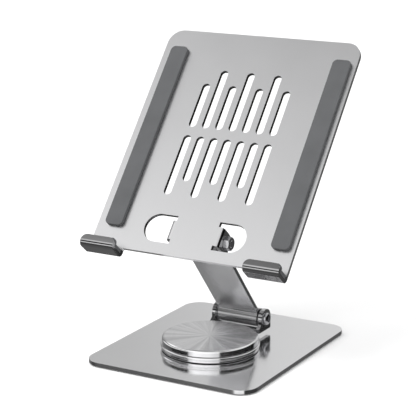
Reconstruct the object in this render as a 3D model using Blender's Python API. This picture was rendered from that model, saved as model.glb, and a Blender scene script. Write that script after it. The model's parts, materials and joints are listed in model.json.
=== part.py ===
"""Folding tablet stand: weighted base plate, turntable, hinge bracket, arm and slotted holder panel."""
import math

import bmesh
import bpy
from mathutils import Matrix, Vector

MM = 0.001

# ---- driving dimensions, millimetres and degrees ----
SHEET = 3.2  # thickness of every bent or cut steel sheet
PAD_T = 1.0  # rubber sheet under the base plate
BASE_HALF_W = 75.0
BASE_FRONT = -75.1
BASE_REAR = 103.6
BASE_CORNER = 15.0

GROUND = -PAD_T  # heights below are measured from the underside of the base plate
DISC_TOP = 13.9
DISC_SPLIT = 8.4  # level where the cap meets the lower disc
DISC_BOTTOM = 3.9
CAP_R = 39.2
RING_R = 40.3

HINGE_Y, HINGE_Z = 53.1, 16.5  # lower hinge axis
ARM_LEAN = 40.5  # arm leans towards the front from upright
ARM_LENGTH = 107.8  # between the two hinge axes
ARM_HALF_W = 18.3
ROLL_R = 7.8  # outside of the rolled knuckles
FACE_OFFSET = 0.9  # front face of the arm ahead of the plane through both axes

EAR_IN = 20.2  # inner faces of all four ears
EAR_R = 8.2
PANEL_LEAN = 40.1  # panel leans back from upright
PANEL_HALF_W = 88.3
PANEL_UP = 182.6  # top edge above the upper hinge axis
PANEL_DOWN = 22.0  # bottom edge below it
FACE_AHEAD = 11.3  # panel's front face ahead of the upper hinge axis

GAP = 0.3
PIN_R = 2.9
LIFT = PAD_T  # puts the rubber pad's underside at height zero

lean = math.radians(ARM_LEAN)
UPPER_Y = HINGE_Y - ARM_LENGTH * math.sin(lean)
UPPER_Z = HINGE_Z + ARM_LENGTH * math.cos(lean)

for old in list(bpy.data.objects):
    bpy.data.objects.remove(old, do_unlink=True)


# ---- helpers ----
def steel(name, colour, rough, metallic=1.0):
    mat = bpy.data.materials.new(name)
    mat.use_nodes = True
    shader = mat.node_tree.nodes["Principled BSDF"]
    shader.inputs["Base Color"].default_value = (*colour, 1.0)
    shader.inputs["Roughness"].default_value = rough
    shader.inputs["Metallic"].default_value = metallic
    return mat


placed = []  # each piece is cut in its own frame and hung on its axis at the very end


def hang(obj, parent, place=(0, 0, 0)):
    placed.append((obj, parent, Vector(place) * MM))


def finish(name, bm, look, smooth=None, parent=None, place=None):
    bmesh.ops.remove_doubles(bm, verts=bm.verts, dist=0.00001)
    bmesh.ops.recalc_face_normals(bm, faces=bm.faces)
    mesh = bpy.data.meshes.new(name)
    bm.to_mesh(mesh)
    bm.free()
    obj = bpy.data.objects.new(name, mesh)
    bpy.context.scene.collection.objects.link(obj)
    mesh.materials.append(steel(name + "_material", *look))
    if smooth:
        mesh.shade_smooth()
        mesh.set_sharp_from_angle(angle=math.radians(smooth))
    if parent:
        hang(obj, parent, place or (0, 0, 0))
    return obj


def prism(outline, axis, low, high):
    """A closed outline in millimetres carried along an axis; the outline lies in the other two."""
    bm = bmesh.new()
    spots = {"X": lambda p, d: (d, p[0], p[1]), "Y": lambda p, d: (p[0], d, p[1]), "Z": lambda p, d: (p[0], p[1], d)}
    ends = []
    for depth in (low, high):
        ends.append([bm.verts.new(Vector(spots[axis](p, depth)) * MM) for p in outline])
    n = len(outline)
    bm.faces.new(ends[0])
    bm.faces.new(ends[1])
    for i in range(n):
        bm.faces.new((ends[0][i], ends[0][(i + 1) % n], ends[1][(i + 1) % n], ends[1][i]))
    bmesh.ops.recalc_face_normals(bm, faces=bm.faces)
    return bm


def lathe(profile, axis="Z", steps=64):
    """A closed profile of (radius, height) pairs turned about an axis; radius 0 closes on the axis."""
    bm = bmesh.new()
    rows = []
    for radius, height in profile:
        if radius == 0:
            spots = [(0, 0, height)]
        else:
            turns = [2 * math.pi * k / steps for k in range(steps)]
            spots = [(radius * math.cos(t), radius * math.sin(t), height) for t in turns]
        if axis == "X":
            spots = [(z, x, y) for x, y, z in spots]
        rows.append([bm.verts.new(Vector(s) * MM) for s in spots])
    pairs = len(rows) if profile[0][0] and profile[-1][0] else len(rows) - 1
    for i in range(pairs):
        a, b = rows[i], rows[(i + 1) % len(rows)]
        for k in range(steps):
            j = (k + 1) % steps
            corners = [a[k % len(a)], a[j % len(a)], b[j % len(b)], b[k % len(b)]]
            bm.faces.new(list(dict.fromkeys(corners)))
    bmesh.ops.recalc_face_normals(bm, faces=bm.faces)
    return bm


def arc(cx, cy, radius, start, stop, steps):
    spots = [math.radians(start + (stop - start) * k / steps) for k in range(steps + 1)]
    return [(cx + radius * math.cos(t), cy + radius * math.sin(t)) for t in spots]


def rounded_box(x0, x1, y0, y1, radius, steps=6):
    out = []
    for cx, cy, a in ((x1 - radius, y1 - radius, 0), (x0 + radius, y1 - radius, 90),
                      (x0 + radius, y0 + radius, 180), (x1 - radius, y0 + radius, 270)):
        out += arc(cx, cy, radius, a, a + 90, steps)
    return out


def offset_strip(line, half):
    """The outline of a bent sheet: a centre line thickened by half to both sides."""
    left, right = [], []
    for i, (x, y) in enumerate(line):
        ax, ay = line[max(i - 1, 0)]
        bx, by = line[min(i + 1, len(line) - 1)]
        length = math.hypot(bx - ax, by - ay)
        nx, ny = -(by - ay) / length, (bx - ax) / length
        left.append((x + nx * half, y + ny * half))
        right.append((x - nx * half, y - ny * half))
    return left + right[::-1]


def bore_x(radius, y=0.0, z=0.0):
    """A long round rod along X for cutting a pin hole."""
    return prism(arc(y, z, radius, 0, 348.75, 31), "X", -60, 60)


def cutter(name, bm):
    obj = finish(name, bm, ((0.5, 0.5, 0.5), 0.5))
    obj.hide_render = True
    obj.display_type = "WIRE"
    return obj


def combine(target, tool, how="DIFFERENCE"):
    """Applies one exact Boolean and removes the tool."""
    mod = target.modifiers.new("cut", "BOOLEAN")
    mod.operation = how
    mod.solver = "EXACT"
    mod.object = tool
    graph = bpy.context.evaluated_depsgraph_get()
    mesh = bpy.data.meshes.new_from_object(target.evaluated_get(graph))
    target.modifiers.clear()
    keep = list(target.data.materials)
    target.data = mesh
    mesh.materials.clear()
    for mat in keep:
        mesh.materials.append(mat)
    bpy.data.objects.remove(tool, do_unlink=True)


def soften(obj, width, segments=2, angle=40):
    mod = obj.modifiers.new("edges", "BEVEL")
    mod.width = width * MM
    mod.segments = segments
    mod.limit_method = "ANGLE"
    mod.angle_limit = math.radians(angle)
    mod.use_clamp_overlap = True


def smooth(obj, angle=35):
    obj.data.shade_smooth()
    obj.data.set_sharp_from_angle(angle=math.radians(angle))


BRUSHED = ((0.62, 0.63, 0.64), 0.32)
POLISHED = ((0.70, 0.70, 0.71), 0.12)
ZINC = ((0.55, 0.56, 0.58), 0.28)
SILICONE = ((0.10, 0.105, 0.11), 0.7, 0.0)
NYLON = ((0.02, 0.02, 0.02), 0.5, 0.0)


def empty(name, place, turn=0.0, parent=None):
    obj = bpy.data.objects.new(name, None)
    bpy.context.scene.collection.objects.link(obj)
    obj.location = Vector(place) * MM
    obj.rotation_euler = (math.radians(turn), 0, 0)
    obj.parent = parent
    return obj


# every height is lifted by the rubber pad's thickness through this parent
root = empty("stand_frame", (0, 0, LIFT))

# ---- base ----
plate = rounded_box(-BASE_HALF_W, BASE_HALF_W, BASE_FRONT, BASE_REAR, BASE_CORNER, 10)
base = finish("base_plate", prism(plate, "Z", 0, SHEET), BRUSHED, parent=root)
combine(base, cutter("bolt_seat", lathe([(0, -1), (8.3, -1), (8.3, 0.3), (4.3, 2.9), (4.3, 5), (0, 5)], steps=32)))
soften(base, 0.5, 2)
smooth(base)

inset = 3.0
pad = rounded_box(-BASE_HALF_W + inset, BASE_HALF_W - inset, BASE_FRONT + inset, BASE_REAR - inset,
                  BASE_CORNER - inset, 10)
rubber = finish("base_pad", prism(pad, "Z", GROUND, -0.05), NYLON, parent=root)
smooth(rubber)

# ---- pivot through the middle of the base ----
finish("pivot_bolt", lathe([(0, 0.1), (7.7, 0.1), (7.7, 0.35), (4.0, 2.9), (4.0, 11.6), (3.4, 12.2), (0, 12.2)],
                           steps=32), ZINC, 30, root)
finish("slip_washer", lathe([(4.4, SHEET + 0.1), (37.6, SHEET + 0.1), (37.6, DISC_BOTTOM - 0.1),
                             (4.4, DISC_BOTTOM - 0.1)], steps=64), NYLON, 30, root)
finish("pivot_washer", lathe([(4.3, 6.0), (9.0, 6.0), (9.0, 6.9), (4.3, 6.9)], steps=32), ZINC, 30, root)
finish("pivot_spring_washer", lathe([(4.3, 7.1), (8.0, 7.1), (8.0, 7.7), (4.3, 8.1)], steps=32), ZINC, 30, root)


def hex_nut(half_flat, bore, low, high, steps=24, crown=0.0):
    """A hexagonal nut about Z with chamfered corners, as one solid."""
    corner = half_flat / math.cos(math.pi / 6)
    body = prism([(corner * math.cos(math.radians(60 * k)), corner * math.sin(math.radians(60 * k)))
                  for k in range(6)], "Z", low, high)
    nut = finish("nut_blank", body, ZINC)
    drop = 0.9
    turned = lathe([(0, low - 0.01), (corner - 0.5, low - 0.01), (corner + 0.2, low + drop),
                    (corner + 0.2, high - drop), (corner - 0.7, high + 0.01), (0, high + 0.01)], steps=48)
    combine(nut, cutter("nut_turned", turned), "INTERSECT")
    if crown:
        ring = lathe([(0, high - 0.5), (half_flat - 0.5, high - 0.5), (half_flat - 0.5, high + crown - 0.4),
                      (half_flat - 0.9, high + crown), (0, high + crown)], steps=36)
        combine(nut, cutter("nut_crown", ring), "UNION")
    hole = lathe([(0, low - 1), (bore, low - 1), (bore, high + crown + 1), (0, high + crown + 1)], steps=steps)
    combine(nut, cutter("nut_hole", hole))
    return nut


nut = hex_nut(6.5, 4.1, 8.3, 11.4)
nut.name = nut.data.name = "pivot_nut"
hang(nut, root)
smooth(nut, 30)

# ---- turntable: lower disc, cap, bracket ----
swivel = empty("turntable_axis", (0, 0, 0), parent=root)
TONGUE_W = 15.0
TONGUE_FRONT = 15.5
BRACKET_LOW = 6.7
BRACKET_TOP = BRACKET_LOW + SHEET

ring = lathe([(4.1, DISC_BOTTOM), (39.6, DISC_BOTTOM), (39.6, 5.4), (39.1, 5.8),
              (39.9, 6.3), (RING_R, 6.9), (RING_R, DISC_SPLIT - 0.9), (RING_R - 0.9, DISC_SPLIT - 0.15),
              (10.2, DISC_SPLIT - 0.15), (10.2, 5.8), (4.1, 5.8)], steps=64)
lower = finish("turntable_lower_disc", ring, POLISHED, parent=swivel)
slot = [(-TONGUE_W - GAP, TONGUE_FRONT - GAP), (TONGUE_W + GAP, TONGUE_FRONT - GAP),
        (TONGUE_W + GAP, 60), (-TONGUE_W - GAP, 60)]
combine(lower, cutter("tongue_slot", prism(slot, "Z", BRACKET_LOW - 0.15, 20)))
SCREWS = [(-27.0, -12.0), (27.0, -12.0), (0.0, -29.0)]
for x, y in SCREWS:
    hole = lathe([(0, 0), (3.4, 0), (3.4, DISC_BOTTOM + 0.6), (1.75, DISC_BOTTOM + 2.2), (1.75, 20), (0, 20)], steps=20)
    bmesh.ops.translate(hole, verts=hole.verts, vec=Vector((x, y, 0)) * MM)
    combine(lower, cutter("cap_screw_hole", hole))
TONGUE_SCREWS = [(-8.0, 24.0), (8.0, 24.0)]
for x, y in TONGUE_SCREWS:
    hole = lathe([(0, 0), (3.4, 0), (3.4, DISC_BOTTOM + 0.6), (1.75, DISC_BOTTOM + 2.2), (1.75, 20), (0, 20)], steps=20)
    bmesh.ops.translate(hole, verts=hole.verts, vec=Vector((x, y, 0)) * MM)
    combine(lower, cutter("tongue_screw_hole", hole))
smooth(lower)

fillet = arc(CAP_R - 2.2, DISC_TOP - 2.2, 2.2, 0, 78, 4)
cap_profile = [(0, DISC_TOP), (CAP_R - 1.9, DISC_TOP)] + fillet[::-1]
cap_profile += [(CAP_R, DISC_SPLIT + 0.25), (CAP_R - 0.1, DISC_SPLIT + 0.15), (10.2, DISC_SPLIT + 0.15),
                (10.2, 12.5), (0, 12.5)]
cap = finish("turntable_cap", lathe(cap_profile, steps=64), POLISHED, parent=swivel)
combine(cap, cutter("cap_slot", prism(slot, "Z", 0, BRACKET_TOP + 0.15)))
for x, y in SCREWS + TONGUE_SCREWS:
    hole = lathe([(0, 0), (1.7, 0), (1.7, 12.3), (0, 12.9)], steps=16)
    bmesh.ops.translate(hole, verts=hole.verts, vec=Vector((x, y, 0)) * MM)
    combine(cap, cutter("cap_thread", hole))
smooth(cap)


def flat_screw(name, x, y, top):
    head = DISC_BOTTOM + 0.25
    bm = lathe([(0, head + 0.8), (1.1, head + 0.8), (1.1, head), (3.1, head), (3.1, head + 0.3), (1.55, head + 1.9),
                (1.55, top - 0.4), (1.2, top), (0, top)], steps=16)
    return finish(name, bm, ZINC, 30, swivel, (x, y, 0))


for k, (x, y) in enumerate(SCREWS):
    flat_screw(f"cap_screw_{k + 1}", x, y, 11.9)
for k, (x, y) in enumerate(TONGUE_SCREWS):
    flat_screw(f"bracket_screw_{k + 1}", x, y, 11.9)

# bracket: a tongue clamped inside the disc, two ears bent up from its wide tail, open behind the knuckle
TAIL_FRONT, TAIL_REAR = 41.2, 47.4
outer = EAR_IN + SHEET
tail = finish("hinge_bracket", prism([(-outer, TAIL_FRONT), (outer, TAIL_FRONT), (outer, TAIL_REAR),
                                      (-outer, TAIL_REAR)], "Z", BRACKET_LOW, BRACKET_TOP), POLISHED, parent=swivel)
tongue = rounded_box(-TONGUE_W, TONGUE_W, TONGUE_FRONT, TAIL_FRONT + 3, 2.0, 4)
combine(tail, cutter("tongue", prism(tongue, "Z", BRACKET_LOW, BRACKET_TOP)), "UNION")
side = [(TAIL_FRONT, BRACKET_LOW), (HINGE_Y + EAR_R - 1.2, BRACKET_LOW), (HINGE_Y + EAR_R, BRACKET_LOW + 1.2)]
side += arc(HINGE_Y, HINGE_Z, EAR_R, 0, 180, 20)
side += [(HINGE_Y - EAR_R, 13.2), (TAIL_FRONT, BRACKET_TOP + 0.4)]
for x0, x1 in ((EAR_IN, outer), (-outer, -EAR_IN)):
    combine(tail, cutter("ear", prism(side, "X", x0, x1)), "UNION")
    corner = EAR_IN - 1.0 if x0 > 0 else -EAR_IN + 1.0
    bend = [(corner, BRACKET_TOP - 0.2), (corner, BRACKET_TOP)]
    wall = EAR_IN if x0 > 0 else -EAR_IN
    turn = (270, 360) if x0 > 0 else (270, 180)
    bend += arc(corner, BRACKET_TOP + 1.0, 1.0, turn[0], turn[1], 4)[1:]
    bend += [(wall + (0.5 if x0 > 0 else -0.5), BRACKET_TOP + 1.0), (wall + (0.5 if x0 > 0 else -0.5), BRACKET_TOP - 0.2)]
    combine(tail, cutter("bend", prism(bend, "Y", TAIL_FRONT + 1.4, TAIL_REAR)), "UNION")
combine(tail, cutter("pin_bore", bore_x(3.2, HINGE_Y, HINGE_Z)))
for x, y in TONGUE_SCREWS:
    hole = lathe([(0, 0), (1.75, 0), (1.75, 20), (0, 20)], steps=20)
    bmesh.ops.translate(hole, verts=hole.verts, vec=Vector((x, y, 0)) * MM)
    combine(tail, cutter("tongue_hole", hole))
soften(tail, 0.35, 2, 50)
smooth(tail)


# ---- a hinge pin set: bolt or sleeve with a thin head at the left, head or nut at the right ----
def along_x(bm):
    bmesh.ops.rotate(bm, verts=bm.verts, cent=(0, 0, 0), matrix=Matrix.Rotation(math.radians(90), 3, "Y"))
    return bm


def ring_x(name, inner, out, x0, x1, look, parent, edge=0.15, steps=28):
    bm = lathe([(inner, x0), (out - edge, x0), (out, x0 + edge), (out, x1 - edge), (out - edge, x1), (inner, x1)],
               "X", steps)
    return finish(name, bm, look, 30, parent)


lower_axis = empty("lower_hinge_axis", (0, HINGE_Y, HINGE_Z), parent=swivel)
head_x = outer + 0.1
# button-headed bolt entering from the right; its hexagon socket faces outwards
bolt = lathe([(0, -18.0), (PIN_R - 0.4, -18.0), (PIN_R, -17.6), (PIN_R, head_x), (5.2, head_x), (5.2, head_x + 0.6),
              (4.9, head_x + 1.6), (4.2, head_x + 2.4), (3.2, head_x + 2.8), (0, head_x + 2.8)], "X", 32)
lower_bolt = finish("lower_hinge_bolt", bolt, ZINC, parent=lower_axis)
socket = [(2.3 * math.cos(math.radians(60 * k + 30)), 2.3 * math.sin(math.radians(60 * k + 30))) for k in range(6)]
combine(lower_bolt, cutter("socket", prism(socket, "X", head_x + 1.0, head_x + 5)))
smooth(lower_bolt)
# sleeve nut from the left: thin head, and a bore that takes the end of the bolt
cup = lathe([(0, -(outer + 1.8)), (4.6, -(outer + 1.8)), (5.0, -(outer + 1.4)), (5.0, -(outer + 0.1)),
             (PIN_R, -(outer + 0.1)), (PIN_R, -18.3), (0, -18.3)], "X", 32)
finish("lower_hinge_sleeve_nut", cup, ZINC, 30, lower_axis)
ring_x("lower_bushing", 2.98, ROLL_R - SHEET - 0.15, -ARM_HALF_W + 0.2, ARM_HALF_W - 0.2, NYLON, lower_axis)
for side_name, sign in (("left", -1), ("right", 1)):
    a, b = sorted((sign * (ARM_HALF_W + 0.2), sign * (ARM_HALF_W + 0.85)))
    ring_x(f"lower_friction_washer_{side_name}", 3.1, 7.4, a, b, NYLON, lower_axis)
    a, b = sorted((sign * (ARM_HALF_W + 1.0), sign * (EAR_IN - 0.15)))
    ring_x(f"lower_spring_washer_{side_name}", 3.1, 7.6, a, b, ZINC, lower_axis)

# ---- arm: one strip rolled into a knuckle at both ends ----
# strip centre line in (s, q): s up the arm from the lower axis, q towards the back
mid = ROLL_R - SHEET / 2
plate_q = SHEET / 2 - FACE_OFFSET
blend = 9.0  # bend radius where the strip leaves the roll
reach = math.sqrt((mid + blend) ** 2 - (plate_q + blend) ** 2)
touch = math.degrees(math.atan2(plate_q + blend, reach))


def knuckle_line():
    """From the free edge at the front of the roll, round underneath and the back, to the flat strip."""
    loop = arc(0, 0, mid, 348, touch, 28)
    away = arc(reach, plate_q + blend, blend, touch + 180, 270, 6)
    return loop + away[1:]


foot = knuckle_line()
head = [(ARM_LENGTH - s, q) for s, q in foot][::-1]
line = foot + head
strip = offset_strip(line, SHEET / 2)
up = (-math.sin(lean), math.cos(lean))
back = (math.cos(lean), math.sin(lean))
outline = [(s * up[0] + q * back[0], s * up[1] + q * back[1]) for s, q in strip]
arm = finish("arm", prism(outline, "X", -ARM_HALF_W, ARM_HALF_W), BRUSHED, parent=lower_axis)
soften(arm, 0.4, 1, 60)
smooth(arm)

# ---- upper hinge ----
upper_axis = empty("upper_hinge_axis", (0, UPPER_Y - HINGE_Y, UPPER_Z - HINGE_Z), -PANEL_LEAN, lower_axis)
ring_x("upper_bushing", 2.98, ROLL_R - SHEET - 0.15, -ARM_HALF_W + 0.2, ARM_HALF_W - 0.2, NYLON, upper_axis)
for side_name, sign in (("left", -1), ("right", 1)):
    a, b = sorted((sign * (ARM_HALF_W + 0.2), sign * (ARM_HALF_W + 0.85)))
    ring_x(f"upper_friction_washer_{side_name}", 3.1, 7.2, a, b, NYLON, upper_axis)
    a, b = sorted((sign * (ARM_HALF_W + 1.0), sign * (EAR_IN - 0.15)))
    ring_x(f"upper_spring_washer_{side_name}", 3.1, 7.2, a, b, ZINC, upper_axis)
end_x = outer + 5.4
upper = lathe([(0, -(outer + 1.9)), (4.5, -(outer + 1.9)), (5.0, -(outer + 1.4)), (5.0, -(outer + 0.1)),
               (PIN_R, -(outer + 0.1)), (PIN_R, end_x - 0.4), (PIN_R - 0.4, end_x), (0, end_x)], "X", 32)
finish("upper_hinge_bolt", upper, ZINC, 30, upper_axis)
lock = hex_nut(5.0, PIN_R + 0.12, outer + 0.15, outer + 5.0)
lock.data.transform(Matrix.Rotation(math.radians(90), 4, "Y"))
lock.name = lock.data.name = "upper_hinge_nut"
hang(lock, upper_axis)
smooth(lock, 30)

# ---- panel, in the frame of the upper hinge: y towards its back, z up its face ----
front_y, back_y = -FACE_AHEAD, -FACE_AHEAD + SHEET
corner = 13.0
HOOK_IN = 57.8
notch = 1.6
face = [(-PANEL_HALF_W, -PANEL_DOWN - 2.0), (-HOOK_IN, -PANEL_DOWN - 2.0)]
face += arc(-HOOK_IN + notch, -PANEL_DOWN - notch, notch, 180, 90, 4)
face += arc(HOOK_IN - notch, -PANEL_DOWN - notch, notch, 90, 0, 4)
face += [(HOOK_IN, -PANEL_DOWN - 2.0), (PANEL_HALF_W, -PANEL_DOWN - 2.0)]
face += arc(PANEL_HALF_W - corner, PANEL_UP - corner, corner, 0, 90, 10)
face += arc(-PANEL_HALF_W + corner, PANEL_UP - corner, corner, 90, 180, 10)
panel = finish("panel", prism(face, "Y", front_y, back_y), BRUSHED, parent=upper_axis)

# hooks: sheet bent forward into a shelf, then up into a lip
bend_in = 1.5
bend_mid = bend_in + SHEET / 2
shelf_top = -PANEL_DOWN - 4.7
shelf_mid = shelf_top - SHEET / 2
lip_front = front_y - 15.2
lip_mid = lip_front + SHEET / 2
lip_top = -PANEL_DOWN + 1.0
panel_mid = (front_y + back_y) / 2
hook_line = [(panel_mid, -PANEL_DOWN - 1.5)]
hook_line += arc(panel_mid - bend_mid, shelf_mid + bend_mid, bend_mid, 0, -90, 6)
hook_line += arc(lip_mid + bend_mid, shelf_mid + bend_mid, bend_mid, 270, 180, 6)
hook_line += [(lip_mid, lip_top)]
hook = offset_strip(hook_line, SHEET / 2)
for x0, x1 in ((HOOK_IN, PANEL_HALF_W), (-PANEL_HALF_W, -HOOK_IN)):
    part = cutter("hook", prism(hook, "X", x0, x1))
    # round the lip's corners
    cut = 5.0
    for cx, a, sx in ((x1, 0, 1), (x0, 90, -1)):
        arc_pts = arc(cx - sx * cut, lip_top - cut, cut, 0 if sx > 0 else 180, 90, 6)
        shape = [(cx + sx, lip_top - cut)] + arc_pts + [(cx - sx * cut, lip_top + 1), (cx + sx, lip_top + 1)]
        combine(part, cutter("lip_corner", prism(shape, "Y", lip_front - 1, lip_front + SHEET + 1)))
    combine(panel, part, "UNION")

# ventilation slots: two rows of seven
slot_half, pitch = 3.45, 12.25
for k in range(-3, 4):
    tall = k % 2 == 0
    rows = ((92.2 + slot_half, (147.0 if tall else 133.4) - slot_half),
            ((43.3 if tall else 29.7) + slot_half, 84.4 - slot_half))
    for low, high in rows:
        shape = arc(k * pitch, high, slot_half, 0, 180, 8) + arc(k * pitch, low, slot_half, 180, 360, 8)
        combine(panel, cutter("slot", prism(shape, "Y", front_y - 3, back_y + 3)))

# D openings, with the two ears lanced out of them and bent to the back
D_LOW, D_HIGH, D_END, D_FLAT = -12.2, 12.2, 45.4, 18.9
round_r = (D_HIGH - D_LOW) / 2
for sign in (-1, 1):
    shape = [(D_FLAT, D_LOW)] + arc(D_END - round_r, 0, round_r, -90, 90, 16) + [(D_FLAT, D_HIGH)]
    shape = [(sign * x, z) for x, z in shape]
    combine(panel, cutter("d_opening", prism(shape, "Y", front_y - 3, back_y + 3)))
    bend_out = SHEET + 0.6
    centre_x, centre_y = EAR_IN + SHEET - bend_out, front_y + bend_out
    hook_x = [(D_FLAT - 1.0, front_y + SHEET / 2), (centre_x, front_y + SHEET / 2)]
    hook_x += arc(centre_x, centre_y, bend_out - SHEET / 2, -90, 0, 6)[1:]
    hook_x += [(EAR_IN + SHEET / 2, EAR_R + 1)]
    bent = [(sign * x, y) for x, y in offset_strip(hook_x, SHEET / 2)]
    ear = cutter("ear", prism(bent, "Z", -EAR_R, EAR_R))
    trim = arc(0, 0, EAR_R, -90, 90, 18) + [(front_y - 2, EAR_R), (front_y - 2, -EAR_R)]
    combine(ear, cutter("ear_shape", prism(trim, "X", -60, 60)), "INTERSECT")
    combine(ear, cutter("ear_bore", bore_x(3.2)))
    combine(panel, ear, "UNION")
soften(panel, 0.35, 1, 50)
smooth(panel)

# ---- silicone ----
PAD_THICK = 3.6
pad_bottom, pad_top = -4.2, 164.8
for name, middle in (("back_pad_left", -72.6), ("back_pad_right", 76.6)):
    shape = rounded_box(middle - 7.9, middle + 7.9, pad_bottom, pad_top, 4.0, 6)
    strip_pad = finish(name, prism(shape, "Y", front_y - 0.1 - PAD_THICK, front_y - 0.1), SILICONE, parent=upper_axis)
    soften(strip_pad, 0.6, 2, 50)
    smooth(strip_pad)

LINER, LINER_UP = 2.9, 2.0
for name, x0, x1 in (("hook_pad_right", HOOK_IN + 0.3, PANEL_HALF_W - 0.3),
                     ("hook_pad_left", -PANEL_HALF_W + 0.3, -HOOK_IN - 0.3)):
    inner_y = lip_front + SHEET + 0.1
    low_z = shelf_top + 0.1
    rear = front_y - 0.3
    liner = arc(rear - bend_in, low_z + bend_in, bend_in, 270, 360, 5) + [(rear, low_z + LINER)]
    liner += [(inner_y + LINER_UP, low_z + LINER)]
    liner += arc(inner_y + LINER_UP / 2, lip_top + 2.2 - LINER_UP / 2, LINER_UP / 2, 0, 180, 6)
    liner += [(inner_y, low_z + bend_in)]
    liner += arc(inner_y + bend_in, low_z + bend_in, bend_in, 180, 270, 5)[1:]
    hook_pad = finish(name, prism(liner, "X", x0, x1), SILICONE, parent=upper_axis)
    cut = 5.0
    for cx, sx in ((x1, 1), (x0, -1)):
        top = lip_top + 2.2
        arc_pts = arc(cx - sx * cut, top - cut, cut, 0 if sx > 0 else 180, 90, 6)
        shape = [(cx + sx, top - cut)] + arc_pts + [(cx - sx * cut, top + 1), (cx + sx, top + 1)]
        combine(hook_pad, cutter("pad_corner", prism(shape, "Y", inner_y - 1, inner_y + LINER_UP + 0.4)))
    smooth(hook_pad)

for obj, parent, place in placed:
    obj.parent = parent
    obj.location = place
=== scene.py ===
import json
import math

import bmesh
import bpy
from mathutils import Matrix, Vector


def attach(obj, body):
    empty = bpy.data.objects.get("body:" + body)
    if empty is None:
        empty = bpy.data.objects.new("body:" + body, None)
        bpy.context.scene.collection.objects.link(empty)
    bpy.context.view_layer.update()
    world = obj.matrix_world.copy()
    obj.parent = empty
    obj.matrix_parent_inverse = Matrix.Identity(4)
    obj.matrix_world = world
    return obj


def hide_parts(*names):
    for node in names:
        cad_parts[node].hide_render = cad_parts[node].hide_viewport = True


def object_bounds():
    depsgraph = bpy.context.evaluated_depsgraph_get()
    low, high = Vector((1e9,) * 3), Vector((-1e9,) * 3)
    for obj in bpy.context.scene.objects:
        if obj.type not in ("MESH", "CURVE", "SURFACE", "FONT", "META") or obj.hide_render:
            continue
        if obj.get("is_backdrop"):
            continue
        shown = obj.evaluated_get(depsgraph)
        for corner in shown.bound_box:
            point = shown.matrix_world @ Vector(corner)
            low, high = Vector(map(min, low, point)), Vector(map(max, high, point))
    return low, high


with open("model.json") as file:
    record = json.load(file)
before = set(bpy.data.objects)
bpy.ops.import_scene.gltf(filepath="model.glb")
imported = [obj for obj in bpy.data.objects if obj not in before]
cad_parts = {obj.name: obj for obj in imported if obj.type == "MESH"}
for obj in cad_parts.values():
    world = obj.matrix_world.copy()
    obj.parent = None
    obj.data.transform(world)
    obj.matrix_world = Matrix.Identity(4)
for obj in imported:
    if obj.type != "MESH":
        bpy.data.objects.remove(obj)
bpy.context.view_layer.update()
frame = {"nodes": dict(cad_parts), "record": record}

# ---------------------------------------------------------------- dimensions
# Lengths are in millimetres and angles in degrees until a mesh is made.
MM = 0.001
SHEET = 3.2
LIFT = 1.0  # the rubber sheet under the base
HOLE_R = 3.2  # hinge holes in the bracket's and the panel's ears
PIN_R = 2.9

BASE_HALF_W, BASE_FRONT, BASE_REAR, BASE_CORNER = 75.0, -75.1, 103.6, 15.0
PIVOT_HOLE_R, COUNTERSINK_R = 4.3, 8.3

DISC_BOTTOM, DISC_SPLIT, DISC_TOP = 3.9, 8.4, 13.9
CAP_R, RING_R = 39.2, 40.3
CORE_R, CORE_LOW, CORE_HIGH = 10.2, 5.8, 12.5  # the hollow round the pivot's nut
HALF_GAP = 0.15  # half of the gap between the two discs
DISC_STEPS = 192

TONGUE_W, TONGUE_FRONT, TONGUE_GAP = 15.0, 15.5, 0.3
BRACKET_LOW = 6.7
BRACKET_TOP = BRACKET_LOW + SHEET
TAIL_FRONT, TAIL_REAR = 41.2, 47.4
EAR_IN, EAR_R = 20.2, 8.2
EAR_OUT = EAR_IN + SHEET

HINGE_Y, HINGE_Z, ARM_LEAN, ARM_LENGTH = 53.1, 16.5, 40.5, 107.8
ARM_HALF_W, ROLL_R, FACE_OFFSET = 18.3, 7.8, 0.9
SWEEP_R = 9.0  # the bend between the arm's flat and its rolled eye
WELD_R = 2.0  # the rounding that closes the seam of each eye
ROLL_REACH = 9.5  # how far the rolled eye reaches along the arm

PANEL_LEAN, PANEL_HALF_W, PANEL_UP, PANEL_DOWN = 40.1, 88.3, 182.6, 22.0
PANEL_CORNER, PANEL_NOTCH = 13.0, 1.6
FACE_AHEAD, HOOK_IN = 11.3, 57.8
FRONT_Y = -FACE_AHEAD
BACK_Y = FRONT_Y + SHEET
THROUGH = 3  # how far a cutter stands out of the panel on either side

BEND_IN = 1.5
SHELF_TOP = -PANEL_DOWN - 4.7
LIP_FRONT = FRONT_Y - 15.2
LIP_TOP = -PANEL_DOWN + 1.6
LIP_CORNER, LIP_EDGE = 5.0, 1.0
LIP_TILT = math.tan(math.radians(4.0))

SLOT_HALF, SLOT_PITCH = 3.45, 12.25
UPPER_SLOTS_LOW, UPPER_SLOT_TALL, UPPER_SLOT_SHORT = 92.2, 147.0, 133.4
LOWER_SLOTS_HIGH, LOWER_SLOT_TALL, LOWER_SLOT_SHORT = 84.4, 43.3, 29.7
D_HALF_H, D_END, D_FLAT = 12.2, 45.4, 18.9

PAD_THICK, PAD_HALF_W, PAD_BOTTOM, PAD_TOP = 3.6, 7.9, -4.2, 164.8
LINER, LINER_UP, LINER_ABOVE, LINER_SIDE = 2.9, 2.0, 1.6, 0.3
REST_GAP = 0.1  # left between pieces that rest on each other

lean = math.radians(ARM_LEAN)
UPPER_Y = HINGE_Y - ARM_LENGTH * math.sin(lean)
UPPER_Z = HINGE_Z + ARM_LENGTH * math.cos(lean)

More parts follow.
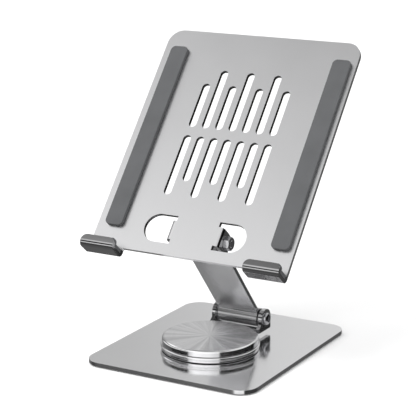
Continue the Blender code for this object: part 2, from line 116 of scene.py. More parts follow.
ROOT = Matrix.Translation((0, 0, LIFT * MM))
LOWER = Matrix.Translation((0, HINGE_Y * MM, (HINGE_Z + LIFT) * MM))
UPPER = Matrix.Translation((0, UPPER_Y * MM, (UPPER_Z + LIFT) * MM)) @ Matrix.Rotation(
    math.radians(-PANEL_LEAN), 4, "X")

# ---------------------------------------------------------------- materials
STEEL_CAST = (1.0, 1.0, 1.01)
ZINC_CAST = (1.0, 1.0, 1.03)


def tinted(tone, cast):
    return tuple(min(tone * c, 1.0) for c in cast)


class Look:
    """A small builder for one material's node tree."""

    def __init__(self, name, **fixed):
        self.mat = bpy.data.materials.new(name)
        self.mat.use_nodes = True
        self.tree = self.mat.node_tree
        self.shader = self.tree.nodes["Principled BSDF"]
        for key, value in fixed.items():
            self.shader.inputs[key.replace("_", " ")].default_value = value
        self.coords = self.tree.nodes.new("ShaderNodeTexCoord")

    def node(self, kind, values=None, **settings):
        made = self.tree.nodes.new("ShaderNode" + kind)
        for key, value in settings.items():
            setattr(made, key, value)
        for key, value in (values or {}).items():
            if isinstance(value, bpy.types.NodeSocket):
                self.tree.links.new(value, made.inputs[key])
            else:
                made.inputs[key].default_value = value
        return made

    def noise(self, scale, detail, stretch=(1, 1, 1), rough=0.5):
        where = self.node("Mapping", {"Vector": self.coords.outputs["Object"], "Scale": stretch})
        return self.noise_at(where.outputs[0], scale, detail, rough)

    def noise_at(self, place, scale, detail, rough):
        return self.node("TexNoise", {"Vector": place, "Scale": scale, "Detail": detail,
                                      "Roughness": rough}).outputs["Fac"]

    def spread(self, value, low, high, start=0.3, stop=0.7):
        return self.node("MapRange", {"Value": value, "From Min": start, "From Max": stop,
                                      "To Min": low, "To Max": high}).outputs["Result"]

    def blend(self, fac, a, b):
        made = self.tree.nodes.new("ShaderNodeMix")
        made.data_type = "RGBA"
        colour_in = [s for s in made.inputs if s.type == "RGBA"]
        self.tree.links.new(fac, made.inputs[0])
        for socket, value in zip(colour_in, (a, b)):
            if isinstance(value, bpy.types.NodeSocket):
                self.tree.links.new(value, socket)
            else:
                socket.default_value = (*value, 1.0)
        return [s for s in made.outputs if s.type == "RGBA"][0]

    def link(self, value, name):
        self.tree.links.new(value, self.shader.inputs[name])

    def bump(self, height, strength, distance):
        made = self.node("Bump", {"Height": height, "Strength": strength, "Distance": distance})
        self.link(made.outputs[0], "Normal")


def satin(name, tone, rough, stretch, grain):
    """Fine brushed and lightly blasted steel: long hairlines, a soft cloud of tone, a pinprick grain."""
    look = Look(name, Metallic=1.0)
    lines = look.noise(scale=900.0, detail=3.0, stretch=stretch, rough=0.6)
    cloud = look.noise(scale=22.0, detail=3.0)
    speck = look.noise(scale=2600.0, detail=1.0)
    dark, light = tinted(tone * 0.965, STEEL_CAST), tinted(tone * 1.03, STEEL_CAST)
    streaked = look.blend(look.spread(lines, 0.0, 1.0), dark, light)
    clouded = look.blend(look.spread(cloud, 0.0, 0.5), streaked, light)
    look.link(clouded, "Base Color")
    mixed = look.node("Math", {0: look.spread(lines, rough - 0.03, rough + 0.03),
                               1: look.spread(cloud, -0.015, 0.015)}, operation="ADD")
    look.link(mixed.outputs[0], "Roughness")
    height = look.node("Math", {0: lines, 1: speck}, operation="ADD")
    look.bump(height.outputs[0], strength=grain, distance=0.0002)
    return look.mat


def polished(name, tone, rough, cast=STEEL_CAST):
    """Smooth bright steel with faint wiping marks and a slight unevenness."""
    look = Look(name, Metallic=1.0)
    wipe = look.noise(scale=120.0, detail=4.0, stretch=(1.0, 3.0, 3.0), rough=0.6)
    cloud = look.noise(scale=35.0, detail=2.0)
    dark, light = tinted(tone * 0.94, cast), tinted(tone * 1.04, cast)
    look.link(look.blend(look.spread(cloud, 0.0, 1.0), dark, light), "Base Color")
    look.link(look.spread(wipe, rough * 0.85, rough * 1.2), "Roughness")
    look.bump(wipe, strength=0.005, distance=0.0002)
    return look.mat


def turned(name, tone, rough, amount):
    """Metal faced on a lathe: fine concentric grooves, and a painted fan of light and shade round the centre
    in its colour.
    """
    look = Look(name, Metallic=1.0, Anisotropic=amount, Anisotropic_Rotation=0.25)
    apart = look.node("SeparateXYZ", {"Vector": look.coords.outputs["Object"]})
    square_x = look.node("Math", {0: apart.outputs[0], 1: 2.0}, operation="POWER")
    square_y = look.node("Math", {0: apart.outputs[1], 1: 2.0}, operation="POWER")
    total = look.node("Math", {0: square_x.outputs[0], 1: square_y.outputs[0]}, operation="ADD")
    radius = look.node("Math", {0: total.outputs[0]}, operation="SQRT")
    place = look.node("CombineXYZ", {"X": radius.outputs[0], "Z": apart.outputs[2]})
    grooves = look.noise_at(place.outputs[0], scale=1000.0, detail=4.0, rough=0.75)
    flat = look.node("CombineXYZ", {"X": apart.outputs[0], "Y": apart.outputs[1]})
    outward = look.node("VectorMath", {0: flat.outputs[0]}, operation="NORMALIZE")
    # Painted reflection: lighter and darker wedges round the centre, picked by the direction from the centre.
    painted_fan = look.noise_at(outward.outputs[0], scale=5.0, detail=4.0, rough=0.65)
    dark, light = tinted(tone, (0.88, 0.88, 0.89)), tinted(tone, (1.07, 1.07, 1.08))
    # The grey of the painted fan's shaded wedges.
    shadow = tinted(tone, (0.72, 0.72, 0.73))
    ringed = look.blend(look.spread(grooves, 0.0, 1.0), dark, light)
    look.link(look.blend(look.spread(painted_fan, 0.0, 1.0, 0.38, 0.6), shadow, ringed), "Base Color")
    look.link(look.spread(grooves, rough - 0.04, rough + 0.04), "Roughness")
    look.bump(grooves, strength=0.012, distance=0.0001)
    tangent = look.node("Tangent", direction_type="RADIAL", axis="Z")
    look.link(tangent.outputs[0], "Tangent")
    return look.mat


def soft(name, dark, light, rough, grain=0.12):
    """Moulded silicone, rubber or nylon: a faint mottle and a fine matte grain."""
    look = Look(name, Metallic=0.0)
    mottle = look.noise(scale=60.0, detail=3.0)
    grains = look.noise(scale=1800.0, detail=2.0)
    look.link(look.blend(look.spread(mottle, 0.0, 1.0), dark, light), "Base Color")
    look.link(look.spread(grains, rough - 0.06, rough + 0.06), "Roughness")
    look.bump(grains, strength=grain, distance=0.0002)
    return look.mat


ALONG_X, ALONG_Y, ALONG_YZ = (1.0, 30.0, 30.0), (30.0, 1.0, 30.0), (30.0, 1.0, 1.0)
PANEL_STEEL = satin("panel_satin_steel", tone=0.84, rough=0.34, stretch=ALONG_X, grain=0.02)
BASE_STEEL = satin("base_satin_steel", tone=0.84, rough=0.13, stretch=ALONG_Y, grain=0.012)
ARM_STEEL = satin("arm_satin_steel", tone=0.95, rough=0.25, stretch=ALONG_YZ, grain=0.02)
# The rolled eyes: the arm's own steel, painted darker as shade.
ROLL_PAINTED_SHADE_STEEL = satin("rolled_eye_painted_shade", tone=0.42, rough=0.24, stretch=ALONG_YZ, grain=0.02)
EDGE_STEEL = polished("cut_edge_steel", tone=0.84, rough=0.12)
# The walls of the slots and D cut-outs: the panel's steel, painted nearly black as the shade inside them.
SLOT_SHADE_STEEL = polished("slot_wall_painted_shade", tone=0.17, rough=0.22)
# The hooks and ears: the panel's own sheet, polished, and painted darker as shade.
HOOK_SHADED_STEEL = polished("hook_polished_steel_painted_shade", tone=0.42, rough=0.08)
BRIGHT_STEEL = polished("bright_steel", tone=0.50, rough=0.11)
RIM_STEEL = polished("turntable_rim", tone=0.90, rough=0.06)
# The spun face carries the painted fan of light and shade.
SPUN_WITH_PAINTED_FAN = turned("turntable_spun_face_painted_fan", tone=0.84, rough=0.24, amount=0.85)
ZINC = polished("zinc_plated", tone=0.50, rough=0.16, cast=ZINC_CAST)
SILICONE = soft("grey_silicone", (0.080, 0.082, 0.085), (0.091, 0.093, 0.097), rough=0.62, grain=0.02)
NYLON = soft("black_nylon", (0.012, 0.012, 0.013), (0.02, 0.02, 0.021), rough=0.42)
FOOT = soft("foot_rubber", (0.02, 0.02, 0.02), (0.035, 0.035, 0.035), rough=0.75)


# ---------------------------------------------------------------- outlines
def arc(cx, cy, radius, start, stop, steps):
    spots = [math.radians(start + (stop - start) * k / steps) for k in range(steps + 1)]
    return [(cx + radius * math.cos(t), cy + radius * math.sin(t)) for t in spots]


def circle(cx, cy, radius, steps=64):
    return arc(cx, cy, radius, 0, 360 - 360 / steps, steps - 1)


def hexagon(radius, turn=0):
    corners = [math.radians(60 * k + turn) for k in range(6)]
    return [(radius * math.cos(t), radius * math.sin(t)) for t in corners]


def rounded_box(x0, x1, y0, y1, radius, steps=16):
    out = []
    for cx, cy, a in ((x1 - radius, y1 - radius, 0), (x0 + radius, y1 - radius, 90),
                      (x0 + radius, y0 + radius, 180), (x1 - radius, y0 + radius, 270)):
        out += arc(cx, cy, radius, a, a + 90, steps)
    return out


def offset_strip(line, half):
    """The outline of a bent sheet, from its middle line and half its thickness."""
    left, right = [], []
    for i, (x, y) in enumerate(line):
        ax, ay = line[max(i - 1, 0)]
        bx, by = line[min(i + 1, len(line) - 1)]
        length = math.hypot(bx - ax, by - ay)
        nx, ny = -(by - ay) / length, (bx - ax) / length
        left.append((x + nx * half, y + ny * half))
        right.append((x - nx * half, y - ny * half))
    return left + right[::-1]


# ---------------------------------------------------------------- solids
def prism(outline, axis, low, high):
    """The outline carried along an axis; its two numbers are the other two axes, in order."""
    bm = bmesh.new()
    spots = {"X": lambda p, d: (d, p[0], p[1]), "Y": lambda p, d: (p[0], d, p[1]),
             "Z": lambda p, d: (p[0], p[1], d)}
    ends = [[bm.verts.new(Vector(spots[axis](p, depth)) * MM) for p in outline] for depth in (low, high)]
    n = len(outline)
    bm.faces.new(ends[0])
    bm.faces.new(ends[1])
    for i in range(n):
        bm.faces.new((ends[0][i], ends[0][(i + 1) % n], ends[1][(i + 1) % n], ends[1][i]))
    bmesh.ops.recalc_face_normals(bm, faces=bm.faces)
    return bm


def lathe(profile, axis="Z", steps=64):
    """The profile of (radius, height) turned round an axis. It closes on the axis or on itself."""
    bm = bmesh.new()
    rows = []
    for radius, height in profile:
        turns = [2 * math.pi * k / steps for k in range(steps)] if radius else [0]
        spots = [(radius * math.cos(t), radius * math.sin(t), height) for t in turns]
        if axis == "X":
            spots = [(z, x, y) for x, y, z in spots]
        rows.append([bm.verts.new(Vector(s) * MM) for s in spots])
    pairs = len(rows) if profile[0][0] and profile[-1][0] else len(rows) - 1
    for i in range(pairs):
        a, b = rows[i], rows[(i + 1) % len(rows)]
        for k in range(steps):
            j = (k + 1) % steps
            around = [a[k % len(a)], a[j % len(a)], b[j % len(b)], b[k % len(b)]]
            bm.faces.new(list(dict.fromkeys(around)))
    bmesh.ops.recalc_face_normals(bm, faces=bm.faces)
    return bm


def bore_x(radius, y=0.0, z=0.0):
    return prism(circle(y, z, radius), "X", -60, 60)


def blank(name, bm, *mats):
    bmesh.ops.remove_doubles(bm, verts=bm.verts, dist=0.00001)
    bmesh.ops.recalc_face_normals(bm, faces=bm.faces)
    mesh = bpy.data.meshes.new(name)
    bm.to_mesh(mesh)
    bm.free()
    obj = bpy.data.objects.new(name, mesh)
    bpy.context.scene.collection.objects.link(obj)
    for mat in mats:
        mesh.materials.append(mat)
    return obj


def cutter(bm):
    return blank("tool", bm)


def combine(target, tool, how="DIFFERENCE"):
    mod = target.modifiers.new("cut", "BOOLEAN")
    mod.operation, mod.solver, mod.object = how, "EXACT", tool
    graph = bpy.context.evaluated_depsgraph_get()
    mesh = bpy.data.meshes.new_from_object(target.evaluated_get(graph))
    target.modifiers.clear()
    keep = list(target.data.materials)
    target.data = mesh
    mesh.materials.clear()
    for mat in keep:
        mesh.materials.append(mat)
    bpy.data.objects.remove(tool, do_unlink=True)


def round_edges(obj, width, keep):
    """Rounds the sharp edges whose ends both pass the test (mm), in the mesh itself."""
    bm = bmesh.new()
    bm.from_mesh(obj.data)
    bmesh.ops.remove_doubles(bm, verts=bm.verts, dist=0.00001)
    bmesh.ops.dissolve_limit(bm, angle_limit=math.radians(1), verts=bm.verts, edges=bm.edges)
    picked = [e for e in bm.edges if len(e.link_faces) == 2 and e.calc_face_angle(0) > math.radians(50)
              and all(keep(v.co * 1000) for v in e.verts)]
    bmesh.ops.bevel(bm, geom=picked, offset=width * MM, segments=4, profile=0.5, affect="EDGES",
                    clamp_overlap=True)
    bm.to_mesh(obj.data)
    bm.free()


def paint(obj, test, mat):
    """Gives one of the piece's materials to the faces that the test picks by centre (mm) and normal."""
    index = list(obj.data.materials).index(mat)
    for face in obj.data.polygons:
        if test(face.center * 1000, face.normal):
            face.material_index = index


def done(obj, body, place, node, bevel=0.0, segments=3, angle=40, sharp=35):
    """Rounds the edges, smooths, puts the piece in place, ties it to its body and hides the CAD node it
    replaces.
    """
    if bevel:
        mod = obj.modifiers.new("edges", "BEVEL")
        mod.width, mod.segments = bevel * MM, segments
        mod.limit_method, mod.angle_limit = "ANGLE", math.radians(angle)
    obj.data.shade_smooth()
    if not bevel:
        obj.data.set_sharp_from_angle(angle=math.radians(sharp))
    mod = obj.modifiers.new("flat_faces", "WEIGHTED_NORMAL")
    mod.keep_sharp, mod.weight, mod.mode = True, 100, "FACE_AREA"
    obj.matrix_world = place
    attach(obj, body)
    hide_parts(node)


# ---------------------------------------------------------------- base
plate = rounded_box(-BASE_HALF_W, BASE_HALF_W, BASE_FRONT, BASE_REAR, BASE_CORNER)
base = blank("base_plate_steel", prism(plate, "Z", 0, SHEET), BASE_STEEL, EDGE_STEEL)
countersink = [(0, -1), (COUNTERSINK_R, -1), (COUNTERSINK_R, 0.3)]
countersink += [(PIVOT_HOLE_R, 2.9), (PIVOT_HOLE_R, 5), (0, 5)]
combine(base, cutter(lathe(countersink)))
paint(base, lambda c, n: abs(n.z) < 0.5, EDGE_STEEL)
done(base, "base", ROOT, "base_plate", bevel=0.55)

# ---------------------------------------------------------------- turntable
tongue_x = TONGUE_W + TONGUE_GAP
tongue_slot = [(-tongue_x, TONGUE_FRONT - TONGUE_GAP), (tongue_x, TONGUE_FRONT - TONGUE_GAP), (tongue_x, 60),
               (-tongue_x, 60)]

PIVOT_BORE_R, FOOT_RIM_R, GROOVE_R, RIM_EDGE_R = 4.1, 39.6, 39.15, 0.9
rim_bend = DISC_SPLIT - HALF_GAP - RIM_EDGE_R
profile = [(PIVOT_BORE_R, DISC_BOTTOM), (39.4, DISC_BOTTOM)] + arc(39.3, 4.2, 0.3, -60, 0, 3)
profile += [(FOOT_RIM_R, 5.35), (39.45, 5.5), (GROOVE_R, 5.75), (GROOVE_R, 6.0), (39.5, 6.25), (39.95, 6.35)]
profile += arc(39.9, 6.75, 0.4, -60, 0, 4) + [(RING_R, rim_bend)]
profile += arc(RING_R - RIM_EDGE_R, rim_bend, RIM_EDGE_R, 10, 90, 8)
profile += [(CORE_R, DISC_SPLIT - HALF_GAP), (CORE_R, CORE_LOW), (PIVOT_BORE_R, CORE_LOW)]
ring = blank("turntable_lower_ring", lathe(profile, steps=DISC_STEPS), RIM_STEEL)
combine(ring, cutter(prism(tongue_slot, "Z", BRACKET_LOW - 0.15, 20)))
done(ring, "turntable", ROOT, "turntable_lower_disc", sharp=32)

CAP_EDGE_R, CAP_FOOT_R = 2.0, 0.3
fillet = arc(CAP_R - CAP_EDGE_R, DISC_TOP - CAP_EDGE_R, CAP_EDGE_R, 4, 84, 12)
profile = [(0, DISC_TOP), (20, DISC_TOP), (CAP_R - 2.4, DISC_TOP)] + fillet[::-1]
profile += [(CAP_R, DISC_SPLIT + 0.5)]
profile += arc(CAP_R - CAP_FOOT_R, DISC_SPLIT + HALF_GAP + CAP_FOOT_R, CAP_FOOT_R, 0, -90, 4)
profile += [(CORE_R, DISC_SPLIT + HALF_GAP), (CORE_R, CORE_HIGH), (0, CORE_HIGH)]
cap = blank("turntable_spun_cap", lathe(profile, steps=DISC_STEPS), RIM_STEEL, SPUN_WITH_PAINTED_FAN)
combine(cap, cutter(prism(tongue_slot, "Z", 0, BRACKET_TOP + 0.15)))
# The cap's top takes the spun face with its painted fan of light and shade.
paint(cap, lambda c, n: c.z > DISC_TOP - 0.1 and n.z > 0.9, SPUN_WITH_PAINTED_FAN)
done(cap, "turntable", ROOT, "turntable_cap", sharp=32)

tail = [(-EAR_OUT, TAIL_FRONT), (EAR_OUT, TAIL_FRONT), (EAR_OUT, TAIL_REAR), (-EAR_OUT, TAIL_REAR)]
bracket = blank("hinge_bracket_steel", prism(tail, "Z", BRACKET_LOW, BRACKET_TOP), BRIGHT_STEEL)
tongue = rounded_box(-TONGUE_W, TONGUE_W, TONGUE_FRONT, TAIL_FRONT + 3, 2.0, 8)
combine(bracket, cutter(prism(tongue, "Z", BRACKET_LOW, BRACKET_TOP)), "UNION")
HEEL_R = 1.2
ear_side = [(TAIL_FRONT, BRACKET_LOW), (HINGE_Y + EAR_R - HEEL_R, BRACKET_LOW)]
ear_side += arc(HINGE_Y + EAR_R - HEEL_R, BRACKET_LOW + HEEL_R, HEEL_R, -75, 0, 5)
ear_side += arc(HINGE_Y, HINGE_Z, EAR_R, 0, 180, 40)
ear_side += [(HINGE_Y - EAR_R, 13.2), (TAIL_FRONT, BRACKET_TOP + 0.4)]
for sign in (-1, 1):
    x0, x1 = sorted((sign * EAR_IN, sign * EAR_OUT))
    combine(bracket, cutter(prism(ear_side, "X", x0, x1)), "UNION")
    bend = [(sign * (EAR_IN - 1), BRACKET_TOP - 0.2)]
    bend += arc(sign * (EAR_IN - 1), BRACKET_TOP + 1, 1.0, 270, 270 + sign * 90, 8)
    bend += [(sign * (EAR_IN + 0.5), BRACKET_TOP + 1.0), (sign * (EAR_IN + 0.5), BRACKET_TOP - 0.2)]
    combine(bracket, cutter(prism(bend, "Y", TAIL_FRONT + 1.4, TAIL_REAR)), "UNION")
combine(bracket, cutter(bore_x(HOLE_R, HINGE_Y, HINGE_Z)))
done(bracket, "turntable", ROOT, "hinge_bracket", bevel=0.4)

# ---------------------------------------------------------------- lower hinge fasteners
HEAD_R, KEY_R, SMALL_KEY_R = 5.0, 2.3, 1.8
JOIN_X = -18.0  # where the bolt's end meets the floor of the sleeve nut
head_x = EAR_OUT + REST_GAP
shank = [(0, JOIN_X), (PIN_R - 0.4, JOIN_X), (PIN_R, JOIN_X + 0.4)]
dome = ((PIN_R, 0), (HEAD_R, 0), (5.2, 0.25), (5.2, 0.6), (5.1, 1.1), (4.8, 1.65), (4.3, 2.1), (3.7, 2.45),
        (3.1, 2.7), (2.8, 2.8), (0, 2.8))
bolt = blank("lower_pivot_bolt", lathe(shank + [(r, head_x + rise) for r, rise in dome], "X"), ZINC)
combine(bolt, cutter(prism(hexagon(KEY_R, 30), "X", head_x + 1.0, head_x + 5)))
done(bolt, "turntable", LOWER, "lower_hinge_bolt", sharp=30)

cup = [(0, -(EAR_OUT + 1.8)), (4.5, -(EAR_OUT + 1.8)), (4.85, -(EAR_OUT + 1.65)), (HEAD_R, -(EAR_OUT + 1.3)),
       (HEAD_R, -head_x), (PIN_R, -head_x), (PIN_R, JOIN_X - 0.3), (0, JOIN_X - 0.3)]
sleeve = blank("lower_sleeve_nut", lathe(cup, "X"), ZINC)
combine(sleeve, cutter(prism(hexagon(SMALL_KEY_R), "X", -(EAR_OUT + 3), -(EAR_OUT + 0.7))))
done(sleeve, "turntable", LOWER, "lower_hinge_sleeve_nut", sharp=30)

# ---------------------------------------------------------------- arm
# The strip is drawn along the arm: s from the lower axis to the upper one, q towards the arm's back.
along = (-math.sin(lean), math.cos(lean))
across = (math.cos(lean), math.sin(lean))


def on_arm(line):
    return [(s * along[0] + q * across[0], s * along[1] + q * across[1]) for s, q in line]


def other_end(line):
    return [(ARM_LENGTH - s, q) for s, q in line]


roll_mid = ROLL_R - SHEET / 2
flat_q = SHEET / 2 - FACE_OFFSET
sweep_s = math.sqrt((roll_mid + SWEEP_R) ** 2 - (flat_q + SWEEP_R) ** 2)
touch = math.degrees(math.atan2(flat_q + SWEEP_R, sweep_s))
foot = arc(0, 0, roll_mid, 348, touch, 72) + arc(sweep_s, flat_q + SWEEP_R, SWEEP_R, touch + 180, 270, 14)[1:]
strip = on_arm(offset_strip(foot + other_end(foot)[::-1], SHEET / 2))
arm = blank("arm_strip", prism(strip, "X", -ARM_HALF_W, ARM_HALF_W), ARM_STEEL, ROLL_PAINTED_SHADE_STEEL, BRIGHT_STEEL)

weld_q = -FACE_OFFSET - WELD_R
weld_s = math.sqrt((ROLL_R + WELD_R) ** 2 - weld_q ** 2)
seam = arc(weld_s, weld_q, WELD_R, 90, 180 + math.degrees(math.atan2(weld_q, weld_s)), 10)
seam += [(6.0, -1.9), (6.0, 0.2), (weld_s, 0.2)]
for line in (seam, other_end(seam)):
    combine(arm, cutter(prism(on_arm(line), "X", -ARM_HALF_W, ARM_HALF_W)), "UNION")


def rolled(c, n):
    s = (c.y * along[0]) + (c.z * along[1])
    return abs(n.x) < 0.5 and (s < ROLL_REACH or s > ARM_LENGTH - ROLL_REACH)


# Painted shade: the rolled eyes get a darker copy of the arm's steel.
paint(arm, rolled, ROLL_PAINTED_SHADE_STEEL)
paint(arm, lambda c, n: abs(n.x) > 0.5, BRIGHT_STEEL)
done(arm, "arm_body", LOWER, "arm", bevel=0.6, angle=60)

# ---------------------------------------------------------------- upper hinge fasteners
end_x = EAR_OUT + 5.4
upper = [(0, -(EAR_OUT + 1.9)), (4.4, -(EAR_OUT + 1.9)), (4.8, -(EAR_OUT + 1.75)), (HEAD_R, -(EAR_OUT + 1.4)),
         (HEAD_R, -head_x), (PIN_R, -head_x), (PIN_R, end_x - 0.4), (PIN_R - 0.4, end_x), (0, end_x)]
upper_bolt = blank("upper_pivot_bolt", lathe(upper, "X"), ZINC)
combine(upper_bolt, cutter(prism(hexagon(SMALL_KEY_R), "X", -(EAR_OUT + 3), -(EAR_OUT + 0.8))))
done(upper_bolt, "panel_body", UPPER, "upper_hinge_bolt", sharp=30)

NUT_HALF = 5.0  # half of the nut's width across its flats
nut_corner = NUT_HALF / math.cos(math.pi / 6)
nut = blank("upper_lock_nut", prism(hexagon(nut_corner), "X", EAR_OUT + 0.15, EAR_OUT + 5.0), ZINC)
chamfer = [(0, head_x), (nut_corner - 0.5, head_x), (nut_corner + 0.1, EAR_OUT + 0.75),
           (nut_corner + 0.1, EAR_OUT + 4.3), (nut_corner - 0.8, EAR_OUT + 5.1), (0, EAR_OUT + 5.1)]
combine(nut, cutter(lathe(chamfer, "X")), "INTERSECT")
combine(nut, cutter(bore_x(PIN_R + 0.12)))
done(nut, "panel_body", UPPER, "upper_hinge_nut", sharp=30)

# ---------------------------------------------------------------- panel and hooks
foot_z = -PANEL_DOWN - 2.0  # the sheet runs a little past its lower edge, into the hooks' bends
face = [(-PANEL_HALF_W, foot_z), (-HOOK_IN, foot_z)]
face += arc(-HOOK_IN + PANEL_NOTCH, -PANEL_DOWN - PANEL_NOTCH, PANEL_NOTCH, 180, 90, 8)
face += arc(HOOK_IN - PANEL_NOTCH, -PANEL_DOWN - PANEL_NOTCH, PANEL_NOTCH, 90, 0, 8)
face += [(HOOK_IN, foot_z), (PANEL_HALF_W, foot_z)]
face += arc(PANEL_HALF_W - PANEL_CORNER, PANEL_UP - PANEL_CORNER, PANEL_CORNER, 0, 90, 24)
face += arc(-PANEL_HALF_W + PANEL_CORNER, PANEL_UP - PANEL_CORNER, PANEL_CORNER, 90, 180, 24)
panel = blank("holder_panel", prism(face, "Y", FRONT_Y, BACK_Y),
              PANEL_STEEL, EDGE_STEEL, HOOK_SHADED_STEEL, SLOT_SHADE_STEEL)

bend_mid = BEND_IN + SHEET / 2
shelf_mid = SHELF_TOP - SHEET / 2
lip_mid = LIP_FRONT + SHEET / 2
panel_mid = (FRONT_Y + BACK_Y) / 2
hook_line = [(panel_mid, -PANEL_DOWN - 1.5)]
hook_line += arc(panel_mid - bend_mid, shelf_mid + bend_mid, bend_mid, 0, -90, 14)
hook_line += arc(lip_mid + bend_mid, shelf_mid + bend_mid, bend_mid, 270, 180, 14)
hook_line += [(lip_mid, LIP_TOP)]
hook = offset_strip(hook_line, SHEET / 2)


def lean_lip(obj):
    """The lip is bent a little past square: everything on it shifts towards the panel as it rises."""
    for vertex in obj.data.vertices:
        rise = vertex.co.z / MM - (shelf_mid + bend_mid)
        if rise > 0 and vertex.co.y / MM < LIP_FRONT + SHEET + 2.7:
            vertex.co.y += rise * LIP_TILT * MM


def round_lip(obj, x0, x1, top, y0, y1):
    """Rounds the two top corners of a lip that runs from x0 to x1."""
    for cx, side in ((x1, 1), (x0, -1)):
        inner = cx - side * LIP_CORNER
        spots = arc(inner, top - LIP_CORNER, LIP_CORNER, 0 if side > 0 else 180, 90, 14)
        shape = [(cx + side, top - LIP_CORNER)] + spots + [(inner, top + 1), (cx + side, top + 1)]
        combine(obj, cutter(prism(shape, "Y", y0, y1)))


for x0, x1 in ((HOOK_IN, PANEL_HALF_W), (-PANEL_HALF_W, -HOOK_IN)):
    part = cutter(prism(hook, "X", x0, x1))
    round_lip(part, x0, x1, LIP_TOP, LIP_FRONT - 1, LIP_FRONT + SHEET + 1)
    round_edges(part, LIP_EDGE, lambda p: p.z < -PANEL_DOWN - 3.2 or p.y < FRONT_Y - 4)
    lean_lip(part)
    combine(panel, part, "UNION")

for k in range(-3, 4):
    tall = k % 2 == 0
    rows = ((UPPER_SLOTS_LOW + SLOT_HALF, (UPPER_SLOT_TALL if tall else UPPER_SLOT_SHORT) - SLOT_HALF),
            ((LOWER_SLOT_TALL if tall else LOWER_SLOT_SHORT) + SLOT_HALF, LOWER_SLOTS_HIGH - SLOT_HALF))
    for low, high in rows:
        shape = arc(k * SLOT_PITCH, high, SLOT_HALF, 0, 180, 16)
        shape += arc(k * SLOT_PITCH, low, SLOT_HALF, 180, 360, 16)
        combine(panel, cutter(prism(shape, "Y", FRONT_Y - THROUGH, BACK_Y + THROUGH)))

# ---------------------------------------------------------------- D cut-outs, and the ears bent out of them
half_d = [(D_FLAT, -D_HALF_H)] + arc(D_END - D_HALF_H, 0, D_HALF_H, -90, 90, 40) + [(D_FLAT, D_HALF_H)]
bend_out = SHEET + 0.6
bend_x, bend_y = EAR_OUT - bend_out, FRONT_Y + bend_out
ear_line = [(D_FLAT - 1.0, FRONT_Y + SHEET / 2), (bend_x, FRONT_Y + SHEET / 2)]
ear_line += arc(bend_x, bend_y, bend_out - SHEET / 2, -90, 0, 14)[1:]
ear_line += [(EAR_IN + SHEET / 2, EAR_R + 1)]
ear_shape = offset_strip(ear_line, SHEET / 2)
ear_trim = arc(0, 0, EAR_R, -90, 90, 36) + [(FRONT_Y - 2, EAR_R), (FRONT_Y - 2, -EAR_R)]
for sign in (-1, 1):
    cut_out = [(sign * x, z) for x, z in half_d]
    combine(panel, cutter(prism(cut_out, "Y", FRONT_Y - THROUGH, BACK_Y + THROUGH)))
    ear = cutter(prism([(sign * x, y) for x, y in ear_shape], "Z", -EAR_R, EAR_R))
    combine(ear, cutter(prism(ear_trim, "X", -60, 60)), "INTERSECT")
    combine(ear, cutter(bore_x(HOLE_R)))
    combine(panel, ear, "UNION")


def in_cut_out(c, n):
    return abs(n.y) < 0.7 and abs(c.x) < 50 and -14 < c.z < 150 and c.y < BACK_Y + 0.1


paint(panel, lambda c, n: abs(n.y) < 0.7, EDGE_STEEL)
# Painted shade: the walls inside the slots and D cut-outs.
paint(panel, in_cut_out, SLOT_SHADE_STEEL)
# Painted shade: the hooks and the ears bent out of the D cut-outs get the darker hook steel.
paint(panel, lambda c, n: c.z < -PANEL_DOWN - 2.1 or c.y < FRONT_Y - 0.5, HOOK_SHADED_STEEL)
paint(panel, lambda c, n: abs(c.x) < 26 and c.y > BACK_Y + 0.5, HOOK_SHADED_STEEL)
done(panel, "panel_body", UPPER, "panel", bevel=0.35, segments=2, angle=50)

# ---------------------------------------------------------------- silicone
for name, middle in (("back_pad_left", -72.6), ("back_pad_right", 76.6)):
    shape = rounded_box(middle - PAD_HALF_W, middle + PAD_HALF_W, PAD_BOTTOM, PAD_TOP, 4.0, 12)
    back = FRONT_Y - REST_GAP
    pad = blank(name + "_silicone", prism(shape, "Y", back - PAD_THICK, back), SILICONE)
    done(pad, "panel_body", UPPER, name, bevel=0.6)

liner_front, liner_low = LIP_FRONT + SHEET + REST_GAP, SHELF_TOP + REST_GAP
liner_rear = FRONT_Y - 0.3
liner_top = LIP_TOP + LINER_ABOVE
liner = arc(liner_rear - BEND_IN, liner_low + BEND_IN, BEND_IN, 270, 360, 8)
liner += [(liner_rear, liner_low + LINER), (liner_front + LINER_UP, liner_low + LINER)]
liner += arc(liner_front + LINER_UP / 2, liner_top - LINER_UP / 2, LINER_UP / 2, 0, 180, 12)
liner += [(liner_front, liner_low + BEND_IN)]
liner += arc(liner_front + BEND_IN, liner_low + BEND_IN, BEND_IN, 180, 270, 8)[1:]
for name, x0, x1 in (("hook_pad_right", HOOK_IN + LINER_SIDE, PANEL_HALF_W - LINER_SIDE),
                     ("hook_pad_left", -PANEL_HALF_W + LINER_SIDE, -HOOK_IN - LINER_SIDE)):
    pad = blank(name + "_silicone", prism(liner, "X", x0, x1), SILICONE)
    round_lip(pad, x0, x1, liner_top, liner_front - 1, liner_front + LINER_UP + 0.4)
    lean_lip(pad)
    done(pad, "panel_body", UPPER, name, sharp=30)

# ---------------------------------------------------------------- small CAD pieces that stay
KEPT = {"fastener": ZINC, "black_nylon": NYLON, "foot_rubber": FOOT}
slot_of = {s["node"]: s["material_slot"] for s in frame["record"]["subparts"]}
for node, obj in frame["nodes"].items():
    look = KEPT.get(slot_of[node])
    if look:
        for held in obj.material_slots:
            held.material = look
        obj.data.shade_smooth()
        obj.data.set_sharp_from_angle(angle=math.radians(30))

